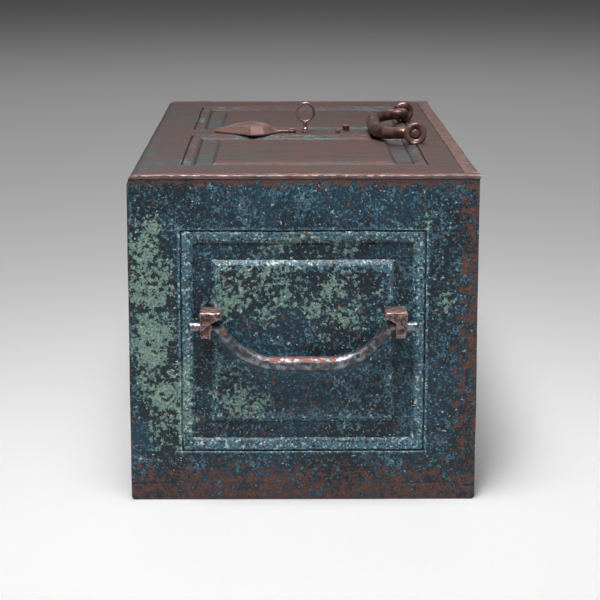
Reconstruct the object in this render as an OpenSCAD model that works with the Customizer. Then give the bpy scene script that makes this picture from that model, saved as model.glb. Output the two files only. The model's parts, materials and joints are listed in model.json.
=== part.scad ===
// Iron strongbox: a panelled chest with a hinged lid, a drop handle on each end,
// a ring-mounted bail on the lid, and a key lock that throws three bolts.
// The origin is the centre of the base, on the floor. +X is the lock side, -X the
// hinge side, and Y runs along the box from the near end (-Y) to the far end (+Y).

/* [Body] */
// Width of the box from the hinge side to the lock side
body_w = 310; // [300:1:320]
// Length of the box between its two end faces
body_l = 650; // [640:1:700]
// Height of the box to the top of the lid
body_h = 296; // [290:1:310]
// Thickness of the outer iron strips
strip_t = 5; // [4.6:0.2:5.4]
// Thickness of the sheets behind the strips
sheet_t = 3; // [2:0.5:3]
// Width of each leg of the corner angles
corner_w = 15; // [12:1:16]
// Height of the band around the foot
band_h = 16; // [12:1:18]

/* [Panels] */
// Width of the strips beside and above each end panel
end_margin = 46; // [40:1:50]
// Half width of the strip between the two panels of a long side or of the lid
mid_rail = 23.6; // [20:0.2:24]
// Distance from the end of the box to a long panel
long_margin = 66; // [60:1:70]
// Width of the moulding that lines a panel
mould_w = 12; // [10:0.5:13]
// Distance from the edge of a panel to its raised field
field_margin = 27; // [26:0.5:30]
// Width of the bevel around a raised field
bevel_w = 4.5; // [3:0.5:6]

/* [Lid] */
// Radius of the rounded hinge edge of the lid
nose_r = 9; // [8:0.5:9]
// Width of the rim around the lid
rim_w = 13; // [12:0.5:14]
// Gap between the lid and the rim
lid_gap = 0.7; // [0.6:0.1:1]
// Radius of the pins that the lid turns on
hinge_pin_r = 3; // [2.5:0.5:4]

/* [End handles] */
// Height of the pivot of an end handle above the floor
bail_z = 163.5; // [155:0.5:170]
// Distance of that pivot from the end face
bail_off = 17; // [16:0.5:20]
// Radius of the bar of an end handle
bail_r = 6; // [5:0.5:6]
// Radius of the thicker grip in its middle
grip_r = 6.6; // [6.2:0.2:7]
// Drop from the pivot to the middle of the grip
bail_drop = 33.5; // [32:0.5:36]
// Radius of the bend where the handle turns out to its pivot
elbow_bend = 7.5; // [6.5:0.5:10]
// Half length of the straight part of the grip
grip_half = 20; // [15:1:22]

/* [Lid handle] */
// Distance of the pivot of the lid handle from the middle of the box
lid_bail_x = 113; // [110:1:116]
// Half of the distance between the two ring eyes
eye_half = 100; // [98:1:105]
// Radius of the bar of the lid handle
lid_bar_r = 7; // [6:0.5:7]
// Distance from the pivot of the lid handle to its bar
lid_bail_reach = 36.5; // [35:0.5:40]

/* [Lock] */
// Distance of the keyhole from the middle of the box
key_x = 5.5; // [4:0.5:7]
// Module of the lock pinion, which sets the size of its teeth
gear_m = 1.6; // [1.6:0.1:1.6]
// Distance that the key can be drawn out
key_draw = 45; // [42:1:60]

/* [Hidden] */
$fn = 64;

// Colours of the finishes
paint = "#20384a";
rust = "#5e463f";
steel = "#6a7478";

// The box
half_w = body_w / 2;
half_l = body_l / 2;
inner_w = half_w - strip_t;
inner_l = half_l - strip_t;
cavity_w = inner_w - sheet_t;
cavity_l = inner_l - sheet_t;
plate_h = 8;
edge_r = 4;
seam = 0.1;
flange_t = 4;
flange_z = body_h - flange_t;
rim_over = 0.7;
leg_h = 30;
leg_t = 3;

// The hinge
hinge_x = -half_w + nose_r;
hinge_z = body_h - nose_r;
back_top = hinge_z - nose_r - 1;
nose_l = half_l - rim_w;
pin_in = 20;

// The panels: each is [middle across, middle up, width, height]
panel_lo = end_margin - 1;
panel_hi = body_h - end_margin - 3.3;
end_panel = [0, (panel_lo + panel_hi) / 2, body_w - 2 * end_margin, panel_hi - panel_lo];
long_l = half_l - long_margin - mid_rail;
long_mid = mid_rail + long_l / 2;
lid_lo = -111;
lid_hi = 115;
lid_mid = (lid_lo + lid_hi) / 2;

// The lid
lid_bottom = body_h - strip_t - sheet_t;
lid_right = half_w - rim_w - lid_gap + 0.4;
lid_left = hinge_x + nose_r;
ledge_w = 12;
ledge_top = lid_bottom - 0.2;
ledge_z = lid_bottom - 5;

// The end handles
lug_in = 80;
lug_out = 91;
head_in = 72;
head_lo = bail_z + 6.7;
head_hi = bail_z + 14.5;
tail_lo = bail_z - 14.5;
stub_end = 102;
rivet_r = 3.2;
stub_r = 4.4;
elbow_end = lug_in - 0.6;
bend_turn = 2 * atan(bail_drop / (elbow_end - grip_half));
bend_sum = (elbow_end - grip_half) / sin(bend_turn);
bail_bend = bend_sum - elbow_bend;
grip_z = bail_z - bail_drop;

// The lid handle
eye_r = 11.45;
eye_t = 8;
eye_z = body_h + 10;
eye_pin_r = 4.45;
arm_y = 88;
arm_r = 5.5;
corner_bend = 33;
rest_tilt = 4;
eye_shank_r = 4.5;

// The lock, from the bottom up
gear_teeth = 12;
pitch_r = gear_m * gear_teeth / 2;
pitch = PI * gear_m;
addendum = 1.1;
dedendum = 1.4;
backlash = 0.15;
tooth_t = pitch / 2 - backlash / 2;
pressure = 20;
base_r = pitch_r * cos(pressure);
low_layer = [271, 275];
high_layer = [277, 281];
bolt_layer = [271.5, 281.5];
bolt_half = 7;
bar_half = 4;
bar_mid = pitch_r + dedendum + bar_half;
cover_lo = 265;
cover_hi = 267.5;
gear_lo = 269;
gear_hi = 281.5;
journal_r = 7.5;
lower_r = 6;
bolt_tip = 128;
end_tip = half_l - 27;
pillar_at = 28;

// The key and the keyhole
stem_r = 2.1;
hole_r = 2.4;
bit_reach = 5.4;
slot_reach = 5.8;
slot_w = 2.8;
bit_t = 2.4;
bow_r = 9.2;
bow_wire = 1.3;
bow_z = body_h + 20.3;

// The keyhole cover, the button and the stud
cover_x = -8.5;
cover_y = -2;
cover_pin_r = 2.4;
cover_z = body_h + 0.4;
button_x = 39;
button_y = -10;
button_r = 2.7;
stud_x = 48;
stud_y = 11;

// A block between low and high limits on each axis
module span(x, y, z) {
    translate([x[0], y[0], z[0]])
        cube([x[1] - x[0], y[1] - y[0], z[1] - z[0]]);
}

// A rod along Z, X or Y
module rod_z(x, y, z, r) {
    translate([x, y, z[0]])
        cylinder(r = r, h = z[1] - z[0]);
}
module rod_x(x, y, z, r) {
    translate([x[0], y, z])
        rotate([0, 90, 0])
            cylinder(r = r, h = x[1] - x[0]);
}
module rod_y(x, y, z, r) {
    translate([x, y[1], z])
        rotate([90, 0, 0])
            cylinder(r = r, h = y[1] - y[0]);
}

// Faces of the box: a child drawn flat, pointing up, is set against the face
module on_near() {
    translate([0, -half_l, 0])
        rotate([90, 0, 0])
            children();
}
module on_far() {
    rotate([0, 0, 180])
        on_near() children();
}
module on_front() {
    rotate([0, 0, 90])
        translate([0, -half_w, 0])
            rotate([90, 0, 0])
                children();
}
module on_back() {
    rotate([0, 0, 180])
        on_front() children();
}
module both_ends() {
    children();
    rotate([0, 0, 180])
        children();
}
module mirror_x() {
    children();
    mirror([1, 0, 0])
        children();
}
module mirror_y() {
    children();
    mirror([0, 1, 0])
        children();
}

// Section of a moulding: a quirk at the panel's edge, then a quarter round
function moulding_section() = concat(
    [[0, -strip_t], [0, -2.4], [1.3, -2.4], [1.3, -0.7], [2.2, -0.5]],
    [for (a = [10:10:90]) [2.2 + (mould_w - 2.2) * sin(a), -strip_t + (strip_t - 0.5) * cos(a)]]);

// One side of a moulding, along X, with mitred ends
module moulding_bar(length) {
    intersection() {
        translate([-length / 2, 0, 0])
            rotate([90, 0, 90])
                linear_extrude(length)
                    polygon(moulding_section());
        translate([0, 0, -strip_t - 1])
            linear_extrude(strip_t + 2)
                polygon([[-length / 2 + seam, 0], [length / 2 - seam, 0],
                    [length / 2 - mould_w - seam, mould_w], [mould_w - length / 2 + seam, mould_w]]);
    }
}

// The four mitred sides of the moulding that lines one panel
module moulding_frame(panel) {
    translate([panel[0], panel[1], 0]) {
        for (turn = [0, 180])
            rotate([0, 0, turn])
                translate([0, -panel[3] / 2, 0])
                    moulding_bar(panel[2]);
        for (turn = [90, 270])
            rotate([0, 0, turn])
                translate([0, -panel[2] / 2, 0])
                    moulding_bar(panel[3]);
    }
}

// A bar with bevelled long edges, the width given, along the Y axis
module bevelled_bar(width, length) {
    top = width / 2 - bevel_w;
    translate([0, length / 2, 0])
        rotate([90, 0, 0])
            linear_extrude(length)
                polygon([[-width / 2, -strip_t], [width / 2, -strip_t], [width / 2, 1 - strip_t],
                    [top, -1], [-top, -1], [-width / 2, 1 - strip_t]]);
}

// The raised field of one panel, bevelled on all four sides
module field(panel) {
    width = panel[2] - 2 * field_margin;
    height = panel[3] - 2 * field_margin;
    translate([panel[0], panel[1], 0])
        intersection() {
            bevelled_bar(width, height);
            rotate([0, 0, 90])
                bevelled_bar(height, width);
        }
}

function long_panel(side) = [side * long_mid, end_panel[1], long_l, end_panel[3]];
function lid_panel(side) = [lid_mid, side * long_mid, lid_hi - lid_lo, long_l];

// Strips around the single panel of an end, drawn flat
module end_strips() {
    edge = half_w - corner_w - seam;
    out = end_panel[2] / 2;
    span([-edge, edge], [band_h + seam, panel_lo], [-strip_t, 0]);
    span([-edge, edge], [panel_hi, flange_z - seam], [-strip_t, 0]);
    mirror_x()
        span([out, edge], [panel_lo + seam, panel_hi - seam], [-strip_t, 0]);
}

// Strips around the two panels of a long side, drawn flat, up to the height given
module long_strips(top) {
    edge = half_l - corner_w - seam;
    span([-edge, edge], [band_h + seam, panel_lo], [-strip_t, 0]);
    span([-edge, edge], [panel_hi, top], [-strip_t, 0]);
    span([-mid_rail, mid_rail], [panel_lo + seam, panel_hi - seam], [-strip_t, 0]);
    mirror_x()
        span([half_l - long_margin, edge], [panel_lo + seam, panel_hi - seam], [-strip_t, 0]);
}

// Outline of an end of the box: round at the hinge corner and at the foot
module end_outline(low, high) {
    intersection() {
        translate([-half_w, low])
            square([body_w, high - low]);
        union() {
            translate([hinge_x, hinge_z])
                circle(nose_r);
            translate([-half_w, edge_r])
                square([body_w, hinge_z - edge_r]);
            translate([hinge_x, edge_r])
                square([body_w - nose_r, body_h - edge_r]);
            for (side = [-1, 1])
                translate([side * (half_w - edge_r), edge_r])
                    circle(edge_r);
            translate([edge_r - half_w, 0])
                square([body_w - 2 * edge_r, edge_r]);
        }
    }
}

// A plate standing across the box with that outline, between two distances along Y
module end_slice(low, high, y) {
    translate([0, y[1], 0])
        rotate([90, 0, 0])
            linear_extrude(y[1] - y[0])
                end_outline(low, high);
}

module hinge_bores(r) {
    rod_y(hinge_x, [-half_l - 1, half_l + 1], hinge_z, r);
}

// ---- The box ----

module bottom_plate() {
    color(rust)
        span([-inner_w, inner_w], [-inner_l, inner_l], [0, plate_h]);
}

module base_band() {
    color(rust) {
        mirror_y()
            end_slice(0, band_h, [-half_l, -inner_l]);
        intersection() {
            end_slice(0, band_h, [seam - inner_l, inner_l - seam]);
            mirror_x()
                span([inner_w, half_w], [-half_l, half_l], [0, band_h]);
        }
    }
}

// Two legs of an angle at each corner: the hinge side stops under the lid's edge
module corner_angles() {
    low = band_h + seam;
    high = flange_z - seam;
    color(paint)
        mirror_y()
            difference() {
                intersection() {
                    end_slice(low, high, [-half_l, -half_l + corner_w]);
                    union() {
                        span([half_w - corner_w, half_w], [-half_l, -inner_l], [low, high]);
                        span([inner_w, half_w], [-half_l, -half_l + corner_w], [low, high]);
                        span([-half_w, corner_w - half_w], [-half_l, -inner_l], [low, high]);
                        span([-half_w, -inner_w], [-half_l, -half_l + corner_w], [low, back_top]);
                    }
                }
                hinge_bores(hinge_pin_r);
            }
}

module near_sheet() {
    color(rust)
        difference() {
            span([-inner_w, inner_w], [-inner_l, -cavity_l], [plate_h, flange_z - seam]);
            hinge_bores(hinge_pin_r);
            for (side = [-1, 1])
                rod_y(side * (lug_in + lug_out) / 2, [-half_l, -cavity_l + 1], bail_z, rivet_r);
        }
}

module far_sheet() {
    mirror([0, 1, 0])
        near_sheet();
}

module front_sheet() {
    color(rust)
        span([cavity_w, inner_w], [-cavity_l, cavity_l], [plate_h, flange_z - seam]);
}

module back_sheet() {
    color(rust)
        span([-inner_w, -cavity_w], [-cavity_l, cavity_l], [plate_h, back_top]);
}

module near_surround() {
    color(paint)
        on_near() end_strips();
}

module far_surround() {
    color(paint)
        on_far() end_strips();
}

module front_surround() {
    color(paint)
        on_front() long_strips(flange_z - seam);
}

module back_surround() {
    color(paint)
        on_back() long_strips(back_top);
}

module near_moulding() {
    color(paint)
        on_near() moulding_frame(end_panel);
}

module far_moulding() {
    color(paint)
        on_far() moulding_frame(end_panel);
}

module front_mouldings() {
    color(paint)
        for (side = [-1, 1])
            on_front() moulding_frame(long_panel(side));
}

module back_mouldings() {
    color(paint)
        for (side = [-1, 1])
            on_back() moulding_frame(long_panel(side));
}

module near_field() {
    color(paint)
        on_near() field(end_panel);
}

module far_field() {
    color(paint)
        on_far() field(end_panel);
}

module front_fields() {
    color(paint)
        for (side = [-1, 1])
            on_front() field(long_panel(side));
}

module back_fields() {
    color(paint)
        for (side = [-1, 1])
            on_back() field(long_panel(side));
}

// Flat rim around three sides of the lid
module top_rim() {
    color(rust) {
        mirror_y()
            end_slice(flange_z, body_h, [-half_l - rim_over, -half_l + rim_w - lid_gap]);
        span([half_w - rim_w + 0.5, half_w], [lid_gap - nose_l - 0.5, nose_l + 0.5 - lid_gap],
            [flange_z, body_h]);
    }
}

// Strips behind the rim that carry the ledge
module rim_legs() {
    color(rust)
        difference() {
            union() {
                mirror_y()
                    span([-cavity_w, cavity_w], [-cavity_l, leg_t - cavity_l],
                        [flange_z - leg_h, flange_z]);
                span([cavity_w - leg_t, cavity_w],
                    [leg_t + seam - cavity_l, cavity_l - leg_t - seam],
                    [flange_z - leg_h, flange_z]);
            }
            hinge_bores(hinge_pin_r);
        }
}

// Ledge under the lid: the bolts catch below it
module lid_ledge() {
    out = cavity_w - leg_t;
    end = cavity_l - leg_t;
    color(rust) {
        span([out - ledge_w, out], [-end, end], [ledge_z, ledge_top]);
        mirror_y()
            span([lid_left + 12, out - ledge_w - seam], [-end, ledge_w - end],
                [ledge_z, ledge_top]);
    }
}

// Angle that stiffens the top of the hinge side
module back_rail() {
    color(rust)
        translate([-cavity_w, cavity_l - leg_t - seam, 0])
            rotate([90, 0, 0])
                linear_extrude(2 * (cavity_l - leg_t - seam))
                    polygon([[0, back_top - 15], [3, back_top - 15], [3, back_top - 3],
                        [12, back_top - 3], [12, back_top], [0, back_top]]);
}

module hinge_pins() {
    color(steel)
        mirror_y()
            rod_y(hinge_x, [-half_l, pin_in - nose_l], hinge_z, hinge_pin_r);
}

// One lug: an eye for the handle's end, and an ear above that stops the lift
module lug() {
    difference() {
        union() {
            intersection() {
                span([lug_in, lug_out], [tail_lo, head_hi], [0, bail_off + 9]);
                union() {
                    span([lug_in, lug_out], [tail_lo, head_hi], [0, bail_off - 5]);
                    rod_x([lug_in, lug_out], bail_z, bail_off - 5, 14);
                    span([lug_in, lug_out], [head_lo, head_hi], [0, bail_off + 9]);
                }
            }
            span([head_in, lug_out], [head_lo, head_hi], [-1, bail_off + 9]);
            span([lug_in + 2.6, lug_out], [tail_lo, head_hi], [-strip_t, 1]);
        }
        rod_x([lug_in - 1, lug_out + 1], bail_z, bail_off, stub_r + 0.08);
        rod_z((lug_in + lug_out) / 2, bail_z, [-strip_t - 1, 8], rivet_r);
    }
}

module near_lugs() {
    color(steel)
        on_near() mirror_x() lug();
}

module far_lugs() {
    color(steel)
        on_far() mirror_x() lug();
}

// Rivets that hold the lugs, with their heads inside the box
module lug_rivets() {
    color(rust)
        both_ends()
            for (side = [-1, 1]) {
                x = side * (lug_in + lug_out) / 2;
                rod_y(x, [-half_l - 8, -cavity_l], bail_z, rivet_r);
                rod_y(x, [-cavity_l, 3 - cavity_l], bail_z, 7);
            }
}

// ---- The end handles ----

// An arc of round bar in the XY plane, about the origin, from one angle to another
module arc_bar(bend, r, from, to) {
    rotate([0, 0, from])
        rotate_extrude(angle = to - from)
            translate([bend, 0])
                circle(r);
}

// One arm of an end handle, drawn flat, with its end turned out through the lug
module bail_arm() {
    translate([grip_half, grip_z + bail_bend, 0])
        arc_bar(bail_bend, bail_r, -92, bend_turn - 90);
    translate([elbow_end - elbow_bend * sin(bend_turn), bail_z - elbow_bend * (1 - cos(bend_turn)), 0])
        sphere(bail_r + 0.15);
    translate([elbow_end, bail_z - elbow_bend, 0])
        arc_bar(elbow_bend, bail_r, 90, 90 + bend_turn);
    rod_x([elbow_end - 0.5, stub_end], bail_z, 0, stub_r);
}

module near_bail() {
    color(steel)
        on_near()
            translate([0, 0, bail_off]) {
                rod_x([-grip_half, grip_half], grip_z, 0, grip_r);
                mirror_x() bail_arm();
            }
}

module far_bail() {
    rotate([0, 0, 180])
        near_bail();
}

// ---- The lid ----

// Holes through the lid for the fittings on it
module lid_holes() {
    rod_z(key_x, 0, [lid_bottom - 1, body_h + 1], journal_r + 0.05);
    rod_z(cover_x, cover_y, [lid_bottom - 1, body_h + 1], cover_pin_r);
    rod_z(button_x, button_y, [lid_bottom - 1, body_h + 1], 1.75);
    rod_z(button_x, button_y, [lid_bottom + sheet_t, body_h + 1], button_r + 0.05);
    rod_z(stud_x, stud_y, [lid_bottom - 1, body_h + 1], 2.5);
    for (side = [-1, 1])
        rod_z(lid_bail_x, side * eye_half, [lid_bottom - 1, body_h + 1], eye_shank_r);
}

module lid_sheet() {
    color(rust)
        difference() {
            span([hinge_x + 14 + seam, lid_right], [-nose_l, nose_l],
                [lid_bottom, lid_bottom + sheet_t]);
            lid_holes();
        }
}

module lid_surround() {
    low = body_h - strip_t;
    end = half_l - long_margin;
    color(rust)
        difference() {
            union() {
                span([lid_left, lid_lo], [-nose_l, nose_l], [low, body_h]);
                span([lid_hi, lid_right], [-nose_l, nose_l], [low, body_h]);
                mirror_y()
                    span([lid_lo + seam, lid_hi - seam], [end, nose_l], [low, body_h]);
                span([lid_lo + seam, lid_hi - seam], [-mid_rail, mid_rail], [low, body_h]);
            }
            lid_holes();
        }
}

module lid_mouldings() {
    color(rust)
        difference() {
            for (side = [-1, 1])
                translate([0, 0, body_h])
                    moulding_frame(lid_panel(side));
            lid_holes();
        }
}

module lid_fields() {
    color(rust)
        for (side = [-1, 1])
            translate([0, 0, body_h])
                field(lid_panel(side));
}

// Round bar along the hinge edge, with a bore in each end for the pins
module lid_hinge_bar() {
    color(rust)
        difference() {
            translate([hinge_x, nose_l, hinge_z])
                rotate([90, 0, 0])
                    linear_extrude(2 * nose_l) {
                        circle(nose_r);
                        translate([0, -nose_r])
                            square([14, nose_r + lid_bottom + sheet_t - hinge_z]);
                        square([nose_r - seam, nose_r]);
                    }
            mirror_y()
                rod_y(hinge_x, [-nose_l - 1, pin_in + 1 - nose_l], hinge_z, hinge_pin_r + 0.05);
        }
}

module lid_cross_bars() {
    color(rust)
        mirror_y()
            span([-125, 125], [195, 205], [lid_bottom - 4, lid_bottom]);
}

// A ring eye with its shank through the lid
module lid_eye(y) {
    difference() {
        union() {
            intersection() {
                rod_y(lid_bail_x, [y - eye_t / 2, y + eye_t / 2], eye_z, eye_r);
                span([0, 200], [y - 20, y + 20], [body_h, body_h + 40]);
            }
            rod_z(lid_bail_x, y, [lid_bottom - 8, body_h + 2], eye_shank_r);
        }
        rod_y(lid_bail_x, [y - eye_t, y + eye_t], eye_z, eye_pin_r + 0.08);
    }
}

module lid_eyes() {
    color(steel)
        for (side = [-1, 1])
            lid_eye(side * eye_half);
}

module eye_nuts() {
    color(steel)
        for (side = [-1, 1])
            difference() {
                translate([lid_bail_x, side * eye_half, lid_bottom - 5])
                    cylinder(r = 8, h = 5, $fn = 6);
                rod_z(lid_bail_x, side * eye_half, [lid_bottom - 6, lid_bottom + 1], eye_shank_r);
            }
}

// Shape of the keyhole: a round hole with a slot on the lock side
module key_cut(z) {
    rod_z(key_x, 0, z, hole_r);
    span([key_x, key_x + slot_reach], [-slot_w / 2, slot_w / 2], z);
}

module keyhole_bush() {
    color(steel)
        difference() {
            rod_z(key_x, 0, [lid_bottom, body_h], journal_r);
            key_cut([lid_bottom - 1, body_h + 1]);
        }
}

module slotted_stud() {
    color(rust)
        difference() {
            union() {
                rod_z(stud_x, stud_y, [body_h, body_h + 6], 3.5);
                rod_z(stud_x, stud_y, [lid_bottom - 4, body_h + 1], 2.5);
            }
            span([stud_x - 5, stud_x + 5], [stud_y - 0.6, stud_y + 0.6], [body_h + 4.5, body_h + 7]);
        }
}

module cover_pivot() {
    color(rust) {
        rod_z(cover_x, cover_y, [lid_bottom - 2, body_h + 4], cover_pin_r);
        rod_z(cover_x, cover_y, [body_h + 3.2, body_h + 4.6], 3.5);
    }
}

// ---- The lock, under the lid ----

module lock_collar() {
    color(steel)
        difference() {
            rod_z(key_x, 0, [lid_bottom - 5, lid_bottom], 11);
            rod_z(key_x, 0, [lid_bottom - 6, lid_bottom + 1], journal_r + 0.05);
        }
}

module at_pillars() {
    for (sx = [-1, 1], sy = [-1, 1])
        translate([key_x + sx * pillar_at, sy * pillar_at, 0])
            children();
}

module lock_plate() {
    reach = pillar_at + 8;
    color(rust)
        difference() {
            span([key_x - reach, key_x + reach], [-reach, reach], [cover_lo, cover_hi]);
            rod_z(key_x, 0, [cover_lo - 1, cover_hi + 1], lower_r + 0.05);
            at_pillars()
                rod_z(0, 0, [cover_lo - 1, cover_hi + 1], 2);
        }
}

module lock_pillars() {
    color(steel)
        at_pillars()
            difference() {
                rod_z(0, 0, [cover_hi, lid_bottom], 4);
                rod_z(0, 0, [cover_hi - 1, cover_hi + 10], 2);
            }
}

module lock_screws() {
    color(steel)
        at_pillars()
            difference() {
                union() {
                    rod_z(0, 0, [cover_lo - 2.5, cover_lo], 3.8);
                    rod_z(0, 0, [cover_lo - 1, cover_hi + 9], 2);
                }
                span([-5, 5], [-0.5, 0.5], [cover_lo - 3, cover_lo - 1.6]);
            }
}

// A guide with a square hole that a bolt slides through, along X from its middle
module bolt_guide() {
    gap = 0.15;
    difference() {
        span([-4, 4], [-bolt_half - 4, bolt_half + 4], [bolt_layer[0] - 3.5, lid_bottom]);
        span([-5, 5], [-bolt_half - gap, bolt_half + gap], [bolt_layer[0] - gap, bolt_layer[1] + gap]);
    }
}

module bolt_guides() {
    color(steel) {
        translate([bolt_tip - 7, -bar_mid, 0])
            bolt_guide();
        translate([key_x + bar_mid, end_tip - 7, 0])
            rotate([0, 0, 90])
                bolt_guide();
        translate([key_x - bar_mid, 7 - end_tip, 0])
            rotate([0, 0, 90])
                bolt_guide();
    }
}

// Strap that holds the button's spring
module button_bracket() {
    low = lid_bottom - 10;
    color(steel) {
        span([button_x - 8, button_x + 8], [button_y - 4, button_y + 4], [low, low + 1.5]);
        for (side = [-1, 1])
            translate([button_x + side * 7, button_y, low + 1])
                translate([-1, -4, 0])
                    cube([2, 8, 9]);
    }
}

module catch_spring() {
    color(steel)
        difference() {
            rod_z(button_x, button_y, [lid_bottom - 8.5, lid_bottom - 2], 3);
            rod_z(button_x, button_y, [lid_bottom - 9, lid_bottom - 1], 2.2);
        }
}

// ---- Moving pieces on the lid ----

// One half of the lid handle, drawn flat with the pivot at the origin, bar towards -X
module lid_bail_half() {
    reach = lid_bail_reach;
    corner_x = corner_bend - reach;
    rod_y(0, [arm_y, eye_half + eye_t / 2], 0, eye_pin_r);
    translate([0, arm_y, 0])
        sphere(arm_r);
    rod_x([corner_x, 0], arm_y, 0, arm_r);
    translate([corner_x, arm_y - corner_bend, 0])
        arc_bar(corner_bend, arm_r, 90, 180);
    rod_y(-reach, [0, arm_y - corner_bend], 0, lid_bar_r);
}

module lid_bail() {
    color(rust)
        translate([lid_bail_x, 0, eye_z])
            rotate([0, -rest_tilt, 0])
                mirror_y() lid_bail_half();
}

// Half width of the leaf-shaped cover at stations from its pivot to its tip
leaf_edge = [[12, 3.5], [18, 17], [28, 30], [41.5, 36], [60, 19], [77, 4], [80, 2]];
leaf_crest = [[18, 2.6], [22, 12], [30, 22], [42, 28], [57, 16], [72, 4]];
function leaf_outline(edge) = concat(edge, [for (i = [len(edge) - 1:-1:0]) [edge[i][0], -edge[i][1]]]);

module keyhole_cover() {
    color(rust)
        difference() {
            translate([cover_x, cover_y, cover_z])
                rotate([0, 0, 180]) {
                    hull() {
                        linear_extrude(2)
                            polygon(leaf_outline(leaf_edge));
                        linear_extrude(8.8)
                            polygon(leaf_outline(leaf_crest));
                    }
                    cylinder(r = 4.6, h = 2.6);
                    translate([0, -3.6, 0])
                        cube([16, 7.2, 2.2]);
                }
            rod_z(cover_x, cover_y, [body_h - 1, body_h + 20], cover_pin_r + 0.05);
        }
}

module catch_button() {
    color(steel) {
        rod_z(button_x, button_y, [body_h - 1.5, body_h + 3.8], button_r);
        rod_z(button_x, button_y, [lid_bottom - 5, body_h + 1], 1.7);
        rod_z(button_x, button_y, [lid_bottom - 2, lid_bottom - 0.2], 3.4);
    }
}

// Involute curve: the point that a taut thread reaches after it unwinds this far
function involute(r, a) = [r * (cos(a) + a * PI / 180 * sin(a)), r * (sin(a) - a * PI / 180 * cos(a))];
function unwind(r) = sqrt(pow(r / base_r, 2) - 1) * 180 / PI;
function turn_point(p, a) = [p[0] * cos(a) - p[1] * sin(a), p[0] * sin(a) + p[1] * cos(a)];

// Outline of one pinion tooth, pointing along +X
tip_r = pitch_r + addendum;
root_r = pitch_r - dedendum;
flank_steps = 6;
half_tooth = tooth_t / 2 / pitch_r * 180 / PI;
pitch_angle = unwind(pitch_r) - atan(unwind(pitch_r) * PI / 180);
upper_flank = [for (i = [0:flank_steps])
    let (a = unwind(base_r + (tip_r - base_r) * i / flank_steps + 0.0001))
        turn_point([involute(base_r, a)[0], -involute(base_r, a)[1]], half_tooth + pitch_angle)];
function tooth_outline() = concat(
    [turn_point([root_r - 1, 0], half_tooth + pitch_angle)],
    upper_flank,
    [for (i = [flank_steps:-1:0]) [upper_flank[i][0], -upper_flank[i][1]]],
    [turn_point([root_r - 1, 0], -half_tooth - pitch_angle)]);

module lock_pinion() {
    color(steel)
        difference() {
            union() {
                translate([key_x, 0, gear_lo])
                    linear_extrude(gear_hi - gear_lo) {
                        circle(root_r);
                        for (i = [0:gear_teeth - 1])
                            rotate([0, 0, i * 360 / gear_teeth])
                                polygon(tooth_outline());
                    }
                rod_z(key_x, 0, [cover_lo, gear_lo + 1], lower_r);
                rod_z(key_x, 0, [gear_hi - 1, lid_bottom - 0.2], journal_r);
            }
            key_cut([gear_lo - 0.5, lid_bottom + 1]);
        }
}

// A rack along +X that faces +Y: the pinion's pitch line lies on the X axis
module rack(teeth) {
    tip_half = tooth_t / 2 - addendum * tan(pressure);
    root_half = tooth_t / 2 + (dedendum + 0.2) * tan(pressure);
    for (i = teeth)
        translate([(i + 0.5) * pitch, 0])
            polygon([[-root_half, -dedendum - 0.2], [root_half, -dedendum - 0.2],
                [tip_half, addendum], [-tip_half, addendum]]);
}

// A bolt bar along +X with its rack at the pinion and its square bolt at the tip
module bolt_bar(layer, tip) {
    tail = -5 * pitch;
    translate([0, -pitch_r, layer[0]])
        linear_extrude(layer[1] - layer[0]) {
            rack([-5:1]);
            translate([tail, -dedendum - 2 * bar_half])
                square([tip - tail - 27, 2 * bar_half]);
        }
    span([tip - 28, tip], [-bar_mid - bolt_half, bolt_half - bar_mid], bolt_layer);
}

module front_bolt() {
    color(steel)
        translate([key_x, 0, 0])
            bolt_bar(low_layer, bolt_tip - key_x);
}

module far_bolt() {
    color(steel)
        translate([key_x, 0, 0])
            rotate([0, 0, 90])
                bolt_bar(high_layer, end_tip);
}

module near_bolt() {
    color(steel)
        translate([key_x, 0, 0])
            rotate([0, 0, -90])
                bolt_bar(high_layer, end_tip);
}

module key() {
    color(rust) {
        translate([key_x, 0, bow_z])
            rotate([90, 0, 0])
                rotate_extrude()
                    translate([bow_r, 0])
                        circle(bow_wire);
        rod_z(key_x, 0, [gear_lo, bow_z - bow_r], stem_r);
        rod_z(key_x, 0, [body_h + 0.1, body_h + 2], 3.2);
        rod_z(key_x, 0, [body_h + 2.3, body_h + 4.5], 2.8);
        span([key_x, key_x + bit_reach], [-bit_t / 2, bit_t / 2], [gear_lo + 1, gear_lo + 9]);
    }
}

bottom_plate();
base_band();
corner_angles();
near_sheet();
far_sheet();
front_sheet();
back_sheet();
near_surround();
far_surround();
front_surround();
back_surround();
near_moulding();
far_moulding();
front_mouldings();
back_mouldings();
near_field();
far_field();
front_fields();
back_fields();
top_rim();
rim_legs();
lid_ledge();
back_rail();
hinge_pins();
near_lugs();
far_lugs();
lug_rivets();
near_bail();
far_bail();
lid_sheet();
lid_surround();
lid_mouldings();
lid_fields();
lid_hinge_bar();
lid_cross_bars();
lid_eyes();
eye_nuts();
keyhole_bush();
slotted_stud();
cover_pivot();
lock_collar();
lock_plate();
lock_pillars();
lock_screws();
bolt_guides();
button_bracket();
catch_spring();
lid_bail();
keyhole_cover();
catch_button();
lock_pinion();
front_bolt();
near_bolt();
far_bolt();
key();
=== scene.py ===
# %% [markdown]
# # An old iron strongbox
# A strongbox of this kind is a chest of riveted iron sheet. Strips and mouldings are laid over
# the sheets to make sunk panels, a lid turns on two hidden pins, and a bail lies on the lid.
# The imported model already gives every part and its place, so this lesson only makes the skin:
# worn forged edges, uneven old iron and flaking blue paint.

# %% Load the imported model
import json

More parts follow.
